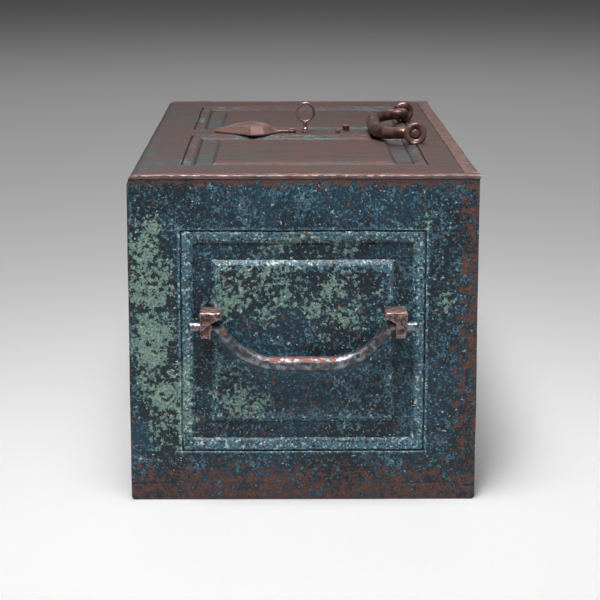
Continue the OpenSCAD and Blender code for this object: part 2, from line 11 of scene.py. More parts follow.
import bmesh
import bpy
import numpy as np
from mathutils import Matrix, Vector


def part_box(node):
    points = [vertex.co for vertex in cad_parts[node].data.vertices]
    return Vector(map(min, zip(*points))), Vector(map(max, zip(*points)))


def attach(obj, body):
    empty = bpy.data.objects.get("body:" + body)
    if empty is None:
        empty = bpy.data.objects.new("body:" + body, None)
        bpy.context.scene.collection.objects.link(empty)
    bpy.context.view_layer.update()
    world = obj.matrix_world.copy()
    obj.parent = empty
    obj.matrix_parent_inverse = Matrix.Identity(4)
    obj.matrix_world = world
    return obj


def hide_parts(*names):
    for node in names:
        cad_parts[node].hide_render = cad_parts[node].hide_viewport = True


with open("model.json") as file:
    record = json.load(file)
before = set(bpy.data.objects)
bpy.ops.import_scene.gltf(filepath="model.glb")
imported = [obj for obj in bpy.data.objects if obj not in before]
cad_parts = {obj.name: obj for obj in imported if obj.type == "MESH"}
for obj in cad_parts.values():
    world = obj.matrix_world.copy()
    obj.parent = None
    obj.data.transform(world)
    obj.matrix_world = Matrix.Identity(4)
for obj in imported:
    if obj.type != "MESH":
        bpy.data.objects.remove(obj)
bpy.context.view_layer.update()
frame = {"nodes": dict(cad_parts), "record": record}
MM = 0.001
print("nodes in the frame:", len(frame["nodes"]))

# %% [markdown]
# ## Sizes from the model
# The main sizes come from the boxes of the imported parts. The outer planes of the walls are those
# of the foot band, and the top of the lid is that of its strips.

# %% Read the main sizes
band_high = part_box("base_band")[1]
HALF_W = band_high.x
HALF_L = band_high.y
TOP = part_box("lid_surround")[1].z


def middle_of(node):
    """The middle of a node's box, seen from above."""
    low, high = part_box(node)
    return ((low.x + high.x) / 2, (low.y + high.y) / 2)


STRIP = 5 * MM
NOSE_R = 9 * MM
HINGE_X = -HALF_W + NOSE_R
HINGE_Z = TOP - NOSE_R
print("half width, half length, height:", round(HALF_W, 4), round(HALF_L, 4), round(TOP, 4))

# %% [markdown]
# ## Old iron is never quite flat
# A hammered sheet wanders by a tenth of a millimetre or two. One smooth field of such small
# shifts is used for every piece, so that neighbours wander together and no gap opens between
# them. A second, finer field nicks the edges, where a chest is knocked about most.

# %% A smooth field of small shifts
def waves(points, size, seed, count=7):
    """Mean of sine waves sin(k . p + phase), seeded, and enlarged so that its peaks come near 1."""
    rng = np.random.default_rng(seed)
    directions = rng.normal(size=(count, 3))
    directions /= np.linalg.norm(directions, axis=1)[:, None]
    lengths = size * rng.uniform(0.6, 1.6, count)
    phases = rng.uniform(0, 2 * np.pi, count)
    angles = points @ (directions * (2 * np.pi / lengths)[:, None]).T + phases
    return np.sin(angles).mean(axis=1) * 1.6


def hand_made(points, edge, nick=0.35 * MM):
    """Each point is shifted by broad waves, and by fine waves times its share of edge."""
    shift = np.empty_like(points)
    for axis in range(3):
        broad = 0.22 * MM * waves(points, 70 * MM, 10 + axis)
        middle = 0.08 * MM * waves(points, 16 * MM, 20 + axis)
        fine = nick * edge * waves(points, 5 * MM, 30 + axis)
        shift[:, axis] = broad + middle + fine
    return points + shift


# %% [markdown]
# ## From arrays to a mesh
# A surface here is always a grid: rings of points, one after another. The faces between two
# rings follow from arithmetic on the indices. If the volume inside comes out negative, the
# faces look inwards, and they are all turned round.

# %% Points and faces from rings of points
def ring_faces(rings, around, closed):
    """Quads between neighbouring rings: point (i, j) is number i * around + j."""
    i = np.arange(rings if closed else rings - 1)[:, None]
    j = np.arange(around)[None, :]
    here, there = i * around, ((i + 1) % rings) * around
    following = (j + 1) % around
    quads = np.stack([here + j, here + following, there + following, there + j], axis=-1)
    return quads.reshape(-1, 4)


def signed_volume(points, quads):
    """Sum over the triangles of a . (b x c) / 6."""
    a, b, c, d = (points[quads[:, k]] for k in range(4))
    first = np.einsum("ij,ij->i", a, np.cross(b, c))
    second = np.einsum("ij,ij->i", a, np.cross(c, d))
    return (first.sum() + second.sum()) / 6


def surface(rings, closed=False):
    """Points and faces of a stack of rings; an open stack gets a flat cap at each end."""
    count, around = rings.shape[:2]
    points = rings.reshape(-1, 3)
    quads = ring_faces(count, around, closed)
    faces = quads.tolist()
    if not closed:
        faces.append(list(range(around))[::-1])
        faces.append(list(range((count - 1) * around, count * around)))
    centred = points - points.mean(axis=0)
    if signed_volume(centred, quads) < 0:
        faces = [face[::-1] for face in faces]
    return points, faces


def join(parts):
    """Several (points, faces, edge) parts as one set, with the indices moved along."""
    points, faces, edges, start = [], [], [], 0
    for part_points, part_faces, part_edge in parts:
        faces += [[index + start for index in face] for face in part_faces]
        points.append(part_points)
        edges.append(part_edge)
        start += len(part_points)
    return np.concatenate(points), faces, np.concatenate(edges)


# %% From points and faces to a piece
def add_object(name, data):
    """A new object in the scene, for a mesh, a light or a camera."""
    made = bpy.data.objects.new(name, data)
    bpy.context.scene.collection.objects.link(made)
    return made


def add_piece(name, mesh, body, nodes, material, sharp):
    """An object for the mesh, which rides a body and is seen instead of the nodes."""
    mesh.shade_smooth()
    mesh.set_sharp_from_angle(angle=np.radians(sharp))
    mesh.materials.append(material)
    made = add_object(name, mesh)
    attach(made, body)
    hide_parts(*nodes)
    return made


def piece(name, parts, body, nodes, material, sharp=32, nick=0.35 * MM):
    """A visible piece from parts, with the attribute 'edge'; nick None leaves it true."""
    points, faces, edge = join(parts)
    if nick is not None:
        points = hand_made(points, edge, nick)
    mesh = bpy.data.meshes.new(name)
    mesh.from_pydata(points.tolist(), [], faces)
    attribute = mesh.attributes.new("edge", "FLOAT", "POINT")
    attribute.data.foreach_set("value", edge.astype(np.float32))
    mesh.update()
    print(f"{name}: {len(points)} points on {body}")
    return add_piece(name, mesh, body, nodes, material, sharp)


# %% [markdown]
# ## Shader maths as expressions
# A finish is mostly arithmetic on patterns: this mask, less where that one is high. Wrapping a
# socket in a small class lets such a rule be written as it is said, and each operator adds its
# Math node. Any other node comes from one method, `node`.

# %% A socket that can be used in expressions
class Value:
    """One output socket of a material, with operators that add Math nodes."""

    def __init__(self, tree, socket):
        self.tree = tree
        self.socket = socket

    def node(self, kind, settings=None, inputs=None, out=0):
        """Adds a node: its settings first, then the values or links of its sockets."""
        made = self.tree.nodes.new(kind)
        for key, value in (settings or {}).items():
            setattr(made, key, value)
        for key, value in (inputs or {}).items():
            if isinstance(value, Value):
                self.tree.links.new(value.socket, made.inputs[key])
            else:
                made.inputs[key].default_value = value
        return Value(self.tree, made.outputs[out])

    def math(self, operation, first, second=0.0):
        return self.node("ShaderNodeMath", {"operation": operation}, {0: first, 1: second})

    def __add__(self, other):
        return self.math("ADD", self, other)

    __radd__ = __add__

    def __mul__(self, other):
        return self.math("MULTIPLY", self, other)

    __rmul__ = __mul__

    def __sub__(self, other):
        return self.math("SUBTRACT", self, other)

    def __rsub__(self, other):
        return self.math("SUBTRACT", other, self)

    def size(self):
        return self.math("ABSOLUTE", self)

    def largest(self, other):
        return self.math("MAXIMUM", self, other)

    def step(self, low, high):
        """0 below low, 1 above high, and smooth between; low may be above high."""
        return self.node("ShaderNodeMapRange", {"interpolation_type": "SMOOTHSTEP"},
                         {0: self, 1: low, 2: high})

    def part(self, axis):
        return self.node("ShaderNodeSeparateXYZ", inputs={0: self}, out="XYZ".index(axis))

    def vector(self, operation, other=(0, 0, 0), out=0):
        return self.node("ShaderNodeVectorMath", {"operation": operation}, {0: self, 1: other}, out)

    def noise(self, size, detail=3.0, rough=0.55, seed=0, stretch=(1, 1, 1)):
        """Cloudy noise with blobs of about this many millimetres, longer where stretched."""
        scale = tuple(1 / (size * MM * s) for s in stretch)
        shift = (seed * 3.7, seed * 1.9, seed * 2.3)
        moved = self.node("ShaderNodeMapping", {},
                          {"Vector": self, "Scale": scale, "Location": shift})
        return self.node("ShaderNodeTexNoise", {},
                         {"Vector": moved, "Scale": 1.0, "Detail": detail, "Roughness": rough})

    def near(self, centre, reach):
        """1 at a place, falling to 0 at an ellipsoid of that reach around it."""
        shrink = tuple(1 / r for r in reach)
        away = self.vector("SUBTRACT", centre).vector("MULTIPLY", shrink).vector("LENGTH", out=1)
        return 1 - away


def mix(factor, first, second):
    """The first colour where the factor is 0, and the second where it is 1."""
    rgba = [c if isinstance(c, Value) else (*c, 1) for c in (first, second)]
    return factor.node("ShaderNodeMix", {"data_type": "RGBA"},
                       {0: factor, 6: rgba[0], 7: rgba[1]}, out=2)


# %% Start and finish a material
def begin(name):
    """A new material, its place on the object, and the share of edge of each point."""
    material = bpy.data.materials.new(name)
    material.use_nodes = True
    tree = material.node_tree
    place = tree.nodes.new("ShaderNodeTexCoord").outputs["Object"]
    attribute = tree.nodes.new("ShaderNodeAttribute")
    attribute.attribute_name = "edge"
    return material, Value(tree, place), Value(tree, attribute.outputs["Fac"])


def finish(material, colour, rough, height, depth, metal=0.0, specular=0.5):
    """Plugs the patterns into the surface shader; height times depth becomes the bump."""
    tree = material.node_tree
    shader = next(n for n in tree.nodes if n.type == "BSDF_PRINCIPLED")
    bump = height.node("ShaderNodeBump", {}, {"Strength": 1.0, "Distance": depth, "Height": height})
    tree.links.new(colour.socket, shader.inputs["Base Color"])
    tree.links.new(bump.socket, shader.inputs["Normal"])
    for name, value in (("Roughness", rough), ("Metallic", metal)):
        if isinstance(value, Value):
            tree.links.new(value.socket, shader.inputs[name])
        else:
            shader.inputs[name].default_value = value
    shader.inputs["Specular IOR Level"].default_value = specular
    return material


# %% [markdown]
# ## Old blue paint
# The paint has darkened to a blue-black with a fine sparkle of lighter blue, an older sage green
# coat shows through in patches, and rust breaks out as specks and along every edge and the foot.
# Each layer is a mask cut from noise: a broad noise says where, and a fine one breaks it up.
# Edges get more of the lighter blue and the pale: partly worn paint, partly a painted highlight.

# %% Colours, and where the chest rusts first
BLUE_DEEP = (0.005, 0.010, 0.015)
BLUE_MID = (0.008, 0.032, 0.052)
BLUE_LIGHT = (0.067, 0.162, 0.218)
SAGE = (0.189, 0.256, 0.189)
SAGE_BLUE = (0.072, 0.153, 0.148)
PALE = (0.432, 0.486, 0.432)
RUST = (0.145, 0.046, 0.031)
RUST_DARK = (0.054, 0.031, 0.026)
# Where the green coat shows on the near end: the middle of the patch (x, z), its reach each way,
# and how dense it is.
SAGE_PLACES = [
    ((-0.135, 0.180), (0.034, 0.125), 0.21),
    ((-0.120, 0.090), (0.040, 0.080), 0.16),
    ((-0.040, 0.190), (0.075, 0.050), 0.155),
    ((0.030, 0.180), (0.075, 0.050), 0.145),
    ((-0.060, 0.095), (0.045, 0.040), 0.155),
    ((0.000, 0.232), (0.090, 0.016), 0.13),
    ((0.128, 0.190), (0.014, 0.050), 0.12),
]
SAGE_DEPTH = 0.05
CORNER_REACH = 34 * MM


def corner_wear(at):
    """High near the foot, the crown and the corners, and more so on the lock's side."""
    corner = at.part("Y").size().step(HALF_L - CORNER_REACH, HALF_L - 4 * MM)
    beside = at.part("X").step(HALF_W - CORNER_REACH, HALF_W - 1 * MM)
    other = at.part("X").step(3 * MM - HALF_W, -HALF_W)
    foot = at.part("Z").step(56 * MM, 8 * MM)
    crown = at.part("Z").step(TOP - 16 * MM, TOP - 3 * MM)
    corners = (corner * beside * 0.65).largest(corner * other * 0.6)
    return corners.largest(foot * 0.72).largest(crown * 0.9)


# %% The paint of the box
def old_blue_paint():
    """Layers from the bottom up: blue, lighter mosaic, sage patches, pale flecks, rust."""
    material, at, edge = begin("old_blue_paint")
    broad = at.noise(60, seed=1)
    middle = at.noise(18, detail=4, rough=0.6, seed=2)
    mosaic = at.noise(3.6, detail=3, rough=0.65, seed=3)
    grain = at.noise(2.1, detail=2, rough=0.6, seed=4)
    flecks = at.noise(4.6, detail=3, rough=0.7, seed=5)
    crumbs = at.noise(7, detail=4, rough=0.65, seed=6)
    colour = mix((broad * 0.6 + mosaic * 0.4).step(0.44, 0.56), BLUE_DEEP, BLUE_MID)
    # Edges lift the lighter blue: partly worn paint, partly a painted highlight.
    light = (mosaic * 0.45 + grain * 0.55 + (middle - 0.5) * 0.35 + edge * 0.15).step(0.52, 0.60)
    colour = mix(light * 0.62, colour, BLUE_LIGHT)
    dark = (grain * 0.6 + flecks * 0.4).step(0.46, 0.41)
    colour = mix(dark * 0.8, colour, BLUE_DEEP)
    place = at.noise(95, detail=3, seed=9).step(0.55, 0.75) * 0.12
    for (x, z), (reach_x, reach_z), amount in SAGE_PLACES:
        patch = at.near((x, -HALF_L, z), (reach_x, SAGE_DEPTH, reach_z))
        place = place.largest(patch.step(0.0, 0.7) * amount)
    sage = (place + (middle + edge * 0.1) * 0.40 + mosaic * 0.55 + flecks * 0.45).step(0.845, 0.885)
    colour = mix(sage * 0.92, colour, mix(grain.step(0.42, 0.58), SAGE_BLUE, SAGE))
    # Edges lift the pale flecks too: partly worn paint, partly a painted highlight.
    pale = (flecks * 0.5 + grain * 0.5 + edge * 0.06).step(0.60, 0.65)
    colour = mix(pale * 0.8, colour, PALE)
    wear = corner_wear(at)
    rust = (wear * 0.17 + crumbs * 0.65 + grain * 0.35 + (broad - 0.5) * 0.12).step(0.59, 0.62)
    colour = mix(rust, colour, mix((grain + wear * 0.25).step(0.75, 0.45), RUST_DARK, RUST))
    height = mosaic * 0.5 + grain * 0.4 + sage * 0.35 - rust * 0.4
    rough = 0.36 + 0.25 * rust + 0.2 * grain
    return finish(material, colour, rough, height, 0.22 * MM, specular=0.35)


PAINT = old_blue_paint()
print("made", PAINT.name, "with", len(SAGE_PLACES), "green places")

# %% [markdown]
# ## The worn lid
# Hands, sacks and years have rubbed the lid down to brown iron. Blue paint is left in long
# streaks and where nothing rubs: in the sunk bands of the panels and along the mouldings.

# %% The iron of the lid
LID_BROWN = (0.057, 0.022, 0.018)
LID_DARK = (0.027, 0.011, 0.009)
LID_GREY = (0.039, 0.025, 0.023)
LID_BLUE = (0.028, 0.053, 0.058)
LID_GRIT = (0.115, 0.075, 0.066)
LID_SKY = (0.093, 0.145, 0.170)


def worn_lid():
    """Brown iron with streaks drawn out along X, and paint left below the top plane."""
    material, at, edge = begin("worn_lid")
    streak = at.noise(9, detail=5, rough=0.65, seed=11, stretch=(9, 1, 1))
    blotch = at.noise(38, detail=4, seed=12)
    grit = at.noise(2.4, detail=5, rough=0.75, seed=13, stretch=(2.2, 1, 1))
    line = at.noise(4, detail=4, rough=0.7, seed=14, stretch=(14, 1, 1))
    colour = mix(blotch.step(0.38, 0.62), LID_BROWN, LID_GREY)
    colour = mix(streak.step(0.5, 0.68), colour, LID_DARK)
    colour = mix(grit.step(0.5, 0.66) * 0.5, colour, LID_GRIT)
    sunk = at.part("Z").step(TOP - 0.8 * MM, TOP - 2.6 * MM)
    hinge_side = at.part("X").step(-0.09, -0.14)
    blue_place = sunk * 0.09 + hinge_side * 0.05 + (blotch - 0.5) * 0.4
    blue = (blue_place + line * 0.35 + grit * 0.65).step(0.55, 0.62)
    colour = mix(blue * 0.8, colour, LID_BLUE)
    rubbed = edge * 0.09 + hinge_side * 0.02
    sky = (rubbed + line * 0.25 + grit * 0.45 + blotch * 0.3).step(0.60, 0.65)
    colour = mix(sky * 0.8, colour, LID_SKY)
    ahead = at.part("Y").size().step(HALF_L - 60 * MM, HALF_L - 15 * MM)
    rust = (ahead * 0.05 + line * 0.7 + grit * 0.3).step(0.575, 0.62)
    colour = mix(rust * 0.75, colour, RUST)
    height = streak * 0.4 + grit * 0.6 - rust * 0.4
    rough = 0.46 + 0.2 * streak + 0.2 * rust
    return finish(material, colour, rough, height, 0.3 * MM, metal=0.25, specular=0.5)


LID = worn_lid()
print("made", LID.name)

# %% [markdown]
# ## Bare and rusty iron
# The fittings are forged iron kept bright by hands: a brown patina over grey metal, with rust in
# the hollows. One function makes them all, from a dark, a light and a rusty colour.

# %% Forged iron in several colours
def on_grip(at):
    """1 on the upper side of the end handles' grips, where palms leave salt and rust starts."""
    grip_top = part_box("near_bail")[0].z + 15 * MM
    along = at.part("X").size().step(60 * MM, 15 * MM)
    return along * at.part("Z").step(grip_top - 9 * MM, grip_top - 3 * MM)


def outward(at):
    """1 on the outer planes of the ends and of the lock side, where the box's paint runs up."""
    ends = at.part("Y").size().step(HALF_L - 1 * MM, HALF_L)
    return ends.largest(at.part("X").step(HALF_W - 1 * MM, HALF_W))


def forged_iron(name, dark, light, rust_share, metal, rough_from, seed, rusty=RUST,
                extra=None, painted=0.0, clouds=12):
    """Metal whose colour runs from dark to light, with rust where fine noise is high."""
    material, at, edge = begin(name)
    cloud = at.noise(clouds, detail=4, rough=0.6, seed=seed)
    grit = at.noise(2.4, detail=3, rough=0.65, seed=seed + 1)
    spots = at.noise(5.5, detail=4, rough=0.65, seed=seed + 2)
    if extra is not None:
        spots = spots + extra(at) * 0.12
    # Edges come out lighter: worn bright metal, and on the rim a painted highlight.
    colour = mix((cloud + grit * 0.4 + edge * 0.15).step(0.6, 0.85), dark, light)
    rust = (spots * 0.7 + grit * 0.3 + rust_share - edge * 0.05).step(0.60, 0.66)
    colour = mix(rust, colour, rusty)
    if painted:
        below = at.part("Z").step(TOP, TOP - 5 * MM)
        flaked = (cloud * 0.3 + spots * 0.7 + below * 0.16).step(0.52, 0.56)
        colour = mix(flaked * outward(at) * painted, colour, BLUE_MID)
    height = grit * 0.4 + cloud * 0.8 - rust * 0.3
    rough = rough_from + 0.12 * grit + 0.3 * rust
    return finish(material, colour, rough, height, 0.25 * MM, metal=metal - 0.5 * rust)


HANDLE = forged_iron("handle_steel", (0.049, 0.064, 0.077), (0.221, 0.243, 0.265),
                     0.045, 0.8, 0.3, 31, extra=on_grip, clouds=7)
LUG = forged_iron("lug_iron", (0.050, 0.026, 0.023), (0.270, 0.215, 0.205),
                  0.08, 0.55, 0.34, 41, clouds=4.5)
FITTING = forged_iron("fitting_iron", (0.073, 0.036, 0.030), (0.213, 0.130, 0.117),
                      0.03, 0.7, 0.28, 51)
KEY = forged_iron("key_iron", (0.182, 0.119, 0.105), (0.378, 0.280, 0.252), 0.0, 0.8, 0.3, 55)
RIM = forged_iron("rim_iron", (0.084, 0.044, 0.037), (0.184, 0.108, 0.096),
                  0.03, 0.3, 0.38, 61, painted=0.35)
POLISHED = forged_iron("polished_cover", (0.090, 0.042, 0.036), (0.285, 0.173, 0.150),
                       0.0, 0.75, 0.36, 58)
INSIDE = forged_iron("inside_iron", (0.05, 0.042, 0.04), (0.09, 0.072, 0.066),
                     0.05, 0.4, 0.5, 71, rusty=RUST_DARK)
WORKS = forged_iron("lock_steel", (0.16, 0.155, 0.15), (0.3, 0.29, 0.28),
                    -0.05, 0.9, 0.3, 81, rusty=RUST_DARK)
print("finishes:", ", ".join(material.name for material in bpy.data.materials))

# %% [markdown]
# ## Panels
# Every side of the chest and both halves of the lid carry the same panel: a strip frame, a
# moulding in the corner, and a raised field. Each is a profile carried round a rectangle, so one
# function makes rings, each a rectangle at its own depth, and a face of the box says where flat
# drawing coordinates lie in space.

# %% Faces of the box and rings on them
def face(origin, across, up):
    """A flat drawing board: its corner, its two directions, and outwards = across x up."""
    across, up = np.array(across, float), np.array(up, float)
    return np.array(origin, float), across, up, np.cross(across, up)


FACES = {
    "near": face((0, -HALF_L, 0), (1, 0, 0), (0, 0, 1)),
    "far": face((0, HALF_L, 0), (-1, 0, 0), (0, 0, 1)),
    "front": face((HALF_W, 0, 0), (0, 1, 0), (0, 0, 1)),
    "back": face((-HALF_W, 0, 0), (0, -1, 0), (0, 0, 1)),
    "lid": face((0, 0, TOP), (1, 0, 0), (0, 1, 0)),
}


def on_face(board, flat):
    """Flat (u, v, outwards) coordinates as places in space."""
    origin, across, up, out = board
    return origin + flat[..., :1] * across + flat[..., 1:2] * up + flat[..., 2:] * out


def inset(rect, amount):
    x0, x1, y0, y1 = rect
    return (x0 + amount, x1 - amount, y0 + amount, y1 - amount)


def rect_rings(stack, per_side):
    """Rings of points round rectangles: each side is divided evenly from corner to corner."""
    t = (np.arange(per_side) / per_side)[:, None]
    rings = []
    for (x0, x1, y0, y1), depth, _ in stack:
        corners = np.array([(x0, y0), (x1, y0), (x1, y1), (x0, y1)])
        sides = np.roll(corners, -1, axis=0) - corners
        ring = (corners[:, None] + sides[:, None] * t).reshape(-1, 2)
        rings.append(np.column_stack([ring, np.full(len(ring), depth)]))
    return np.array(rings)


def nested(rect, rows):
    """Rows of (inset from the rectangle, depth, edge) as rows of (rectangle, depth, edge)."""
    return [(inset(rect, amount), depth, edge) for amount, depth, edge in rows]


def ring_part(board, stack, per_side, closed):
    """One part of a piece on a face, from rows of (rectangle, depth, share of edge)."""
    points, faces = surface(on_face(board, rect_rings(stack, per_side)), closed)
    return points, faces, np.repeat([float(edge) for *_, edge in stack], 4 * per_side)


# %% The frame of strips around a panel
def between(first, second, share):
    return tuple(a + (b - a) * share for a, b in zip(first, second))


def strip_frame(board, outer, opening, per_side=60):
    """Up the outer wall, across the face, over a worn edge, and down into the panel."""
    round_r = 0.9 * MM
    stack = [(outer, -STRIP, 0), (outer, 0, 0)]
    for share in (0.25, 0.5, 0.75, 0.93):
        stack.append((between(outer, opening, share), 0, 0))
    for angle in np.radians([0, 30, 60, 90]):
        reach = round_r * (1 - np.sin(angle))
        stack.append((inset(opening, -reach), round_r * (np.cos(angle) - 1), 1))
    stack.append((opening, -STRIP, 0))
    return ring_part(board, stack, per_side, closed=True)


# %% The moulding in the corner of a panel
FLOOR_LIFT = 0.6 * MM
FIELD_MARGIN = 27 * MM
SEAM = 0.1 * MM


def moulding(board, opening, width, per_side=90):
    """A quirk at the edge, a quarter round down to the floor, and the painted floor itself."""
    quirk, lip, high, groove = 1.4 * MM, 0.6 * MM, -0.5 * MM, -2.6 * MM
    run = width - quirk - lip
    drop = STRIP + high - FLOOR_LIFT
    under_field = FIELD_MARGIN + 0.6 * MM
    rows = [(SEAM, -STRIP, 0), (SEAM, groove, 0), (quirk - lip, groove, 0),
            (quirk, high - 0.5 * MM, 0.6)]
    # The crest takes a full share of edge; in the box's paint that is partly wear, partly a painted
    # highlight.
    for angle in np.radians(np.arange(0, 91, 11.25)):
        fall = drop * (np.cos(angle) - 1)
        rows.append((quirk + lip + run * np.sin(angle), high + fall, 1 if angle < 0.7 else 0.6))
    for share in (0.02, 0.5, 1):
        rows.append((width + (under_field - width) * share, FLOOR_LIFT - STRIP, 0))
    rows.append((under_field, -STRIP, 0))
    return ring_part(board, nested(opening, rows), per_side, closed=True)


# %% The raised field of a panel
def raised_field(board, rect, bevel, per_side=60):
    """A short wall, a bevel with rounded ends, then a nearly flat top."""
    height = -1 * MM
    # The bevel's share of edge lightens the box's paint: partly wear, partly a painted highlight.
    rows = [(0, -STRIP, 0), (SEAM, 1.1 * MM - STRIP, 0.2), (0.6 * MM, 1.5 * MM - STRIP, 0.4),
            (bevel - 0.7 * MM, height - 0.35 * MM, 0.7), (bevel, height - 0.08 * MM, 1),
            (bevel + 0.8 * MM, height, 0.6)]
    half = min(rect[1] - rect[0], rect[3] - rect[2]) / 2
    rows += [(bevel + (half - bevel) * share, height, 0) for share in np.linspace(0.12, 0.97, 12)]
    return ring_part(board, nested(rect, rows), per_side, closed=False)


# %% [markdown]
# ## Skins of the four sides
# The panel's opening is the outer limit of its moulding, and the field lies a fixed margin inside
# it. The flat coordinates on each face are read back from the boxes of the imported parts.

# %% Make the strips, mouldings and fields of the sides
def flat_box(board, node):
    """The box of a node in the flat coordinates of a face: (u0, u1, v0, v1)."""
    origin, across, up, _ = board
    low, high = (np.array(corner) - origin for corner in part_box(node))
    u = sorted([low @ across, high @ across])
    v = sorted([low @ up, high @ up])
    return (u[0], u[1], v[0], v[1])


def split(rect, middle_gap):
    """The two halves of a rectangle, left and right of a gap in the middle of u."""
    x0, x1, y0, y1 = rect
    return [(x0, -middle_gap, y0, y1), (middle_gap, x1, y0, y1)]


def under_nose(points):
    """Points near the top hinge corner are drawn in to the circle of the hinge edge."""
    reach = np.sqrt(np.maximum(NOSE_R ** 2 - np.maximum(points[:, 2] - HINGE_Z, 0) ** 2, 0))
    points[:, 0] = np.maximum(points[:, 0], HINGE_X - reach)
    return points


MOULD_W = 12 * MM
BEVEL = 4.5 * MM
MID_RAIL = 23.6 * MM


def panel_pieces(board, frames, openings, names, body, nodes, material, nicks):
    """Three pieces: the strips, then the mouldings and the fields of all openings of a face."""
    lines = [moulding(board, opening, MOULD_W) for opening in openings]
    tops = [raised_field(board, inset(opening, FIELD_MARGIN), BEVEL) for opening in openings]
    for parts, name, replaced, nick in zip((frames, lines, tops), names, nodes, nicks):
        piece(name, parts, body, replaced, material, nick=nick * MM)


def side_pieces(side, paired):
    """The pieces of one side, for one panel or two; its strips run to the corners."""
    board = FACES[side]
    ending = "s" if paired else ""
    strips, lines, tops = f"{side}_surround", f"{side}_moulding{ending}", f"{side}_field{ending}"
    x1 = HALF_L - STRIP if paired else HALF_W
    outers = [(-x1, x1, *flat_box(board, strips)[2:])]
    openings = [flat_box(board, lines)]
    if paired:
        outers, openings = split(outers[0], 0), split(openings[0], MID_RAIL)
    frames = [strip_frame(board, a, b) for a, b in zip(outers, openings)]
    frames = [(under_nose(points), faces, edge) for points, faces, edge in frames]
    replaced = [strips, "corner_angles"] if side == "near" else [strips]
    names = [f"{side}_strips", f"{side}_moulding_frame", f"{side}_raised_field"]
    panel_pieces(board, frames, openings, names, "box",
                 [replaced, [lines], [tops]], PAINT, (0.35, 0.6, 0.4))


for side, paired in (("near", False), ("far", False), ("front", True), ("back", True)):
    side_pieces(side, paired)

# %% [markdown]
# ## Skin of the lid
# The lid has the same panels, but its strips run to the hinge bar and to the gap beside the
# rim. The halves meet in the middle rail, under the lock's fittings.

# %% Make the lid's strips, mouldings and fields
board = FACES["lid"]
x0, x1, y0, y1 = flat_box(board, "lid_surround")
a0, a1, b0, b1 = flat_box(board, "lid_mouldings")
lid_outers = [(x0, x1, y0, 0), (x0, x1, 0, y1)]
lid_openings = [(a0, a1, b0, -MID_RAIL), (a0, a1, MID_RAIL, b1)]
lid_frames = [strip_frame(board, a, b) for a, b in zip(lid_outers, lid_openings)]
lid_names = ["lid_strips", "lid_moulding_frames", "lid_raised_fields"]
panel_pieces(board, lid_frames, lid_openings, lid_names, "lid",
             [["lid_surround"], ["lid_mouldings"], ["lid_fields"]], LID, (0.35, 0.7, 0.5))

# %% [markdown]
# ## Bars and tubes
# A forged bar is a round section carried along a path, and its radius swells and shrinks a
# little under the hammer. The path lies in a plane, so the section turns about one fixed
# direction, and no twist can creep in.

# %% Carry a round section along a path
def arc(centre, radius, start, stop, count):
    """Points of a circular arc in a plane: centre + radius (cos a, sin a)."""
    angles = np.radians(np.linspace(start, stop, count))
    return np.array(centre) + radius * np.column_stack([np.cos(angles), np.sin(angles)])


def even_path(flat, step):
    """The same line with points at an even spacing."""
    lengths = np.r_[0, np.cumsum(np.linalg.norm(np.diff(flat, axis=0), axis=1))]
    places = np.linspace(0, lengths[-1], int(lengths[-1] / step) + 1)
    return np.column_stack([np.interp(places, lengths, flat[:, k]) for k in range(flat.shape[1])])


def tube(path, radii, sideways, sides=36):
    """Rings p + r (cos a sideways + sin a (tangent x sideways)) along the path."""
    tangent = np.gradient(path, axis=0)
    tangent /= np.linalg.norm(tangent, axis=1)[:, None]
    sideways = np.broadcast_to(np.array(sideways, float), path.shape)
    other = np.cross(tangent, sideways)
    a = np.linspace(0, 2 * np.pi, sides, endpoint=False)
    ring = np.cos(a)[None, :, None] * sideways[:, None] + np.sin(a)[None, :, None] * other[:, None]
    return path[:, None] + radii[:, None, None] * ring


def rounded_ends(path, radii, sideways, sides=36, dome=0.35):
    """A tube whose ends are domed: four shrinking rings are added beyond each end."""
    rings = tube(path, radii, sideways, sides)
    angles = np.radians([30, 55, 75, 86])
    ends = []
    for end, inner in ((0, 1), (-1, -2)):
        out = path[end] - path[inner]
        out = out / np.linalg.norm(out)
        centre = path[end]
        caps = [centre + (rings[end] - centre) * np.cos(a) + out * radii[end] * dome * np.sin(a)
                for a in angles]
        ends.append(caps)
    return np.array(ends[0][::-1] + list(rings) + ends[1])


def solid(rings, edge=0.0, closed=False):
    """A part from rings with one share of edge all over, or with a function's share."""
    points, faces = surface(rings, closed)
    share = edge(points) if callable(edge) else np.full(len(points), float(edge))
    return points, faces, share


# %% [markdown]
# ## The drop handles
# Each handle hangs from two lugs: a thick grip, two arms that curve up, and ends turned out
# through the lugs. The grip is the fattest part, and the pins are drawn down thin.

# %% Make the two end handles
PIN_OFF = 17 * MM
PIN_R = 4.3 * MM
GRIP_DROP = 33.5 * MM
GRIP_HALF = 20 * MM
ELBOW = 7.5 * MM
ELBOW_INSET = 11.6 * MM
lug_low, lug_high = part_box("near_lugs")
LUG_PIVOT = (lug_low.z + lug_high.z) / 2


def handle_path(node):
    """Half of the handle as (across, up): grip, arc up, elbow, and the pin through the lug."""
    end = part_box(node)[1].x
    elbow_x = lug_high.x - ELBOW_INSET
    turn = 2 * np.arctan(GRIP_DROP / (elbow_x - GRIP_HALF))
    bend = (elbow_x - GRIP_HALF) / np.sin(turn) - ELBOW
    grip_z = LUG_PIVOT - GRIP_DROP
    rise = arc((GRIP_HALF, grip_z + bend), bend, -90, np.degrees(turn) - 90, 40)
    elbow = arc((elbow_x, LUG_PIVOT - ELBOW), ELBOW, 90 + np.degrees(turn), 90, 14)
    pin = np.array([[end - 1.4 * MM, LUG_PIVOT]])
    flat = np.concatenate([[[0, grip_z]], rise, elbow[1:], pin])
    return even_path(flat, 1.5 * MM), elbow_x


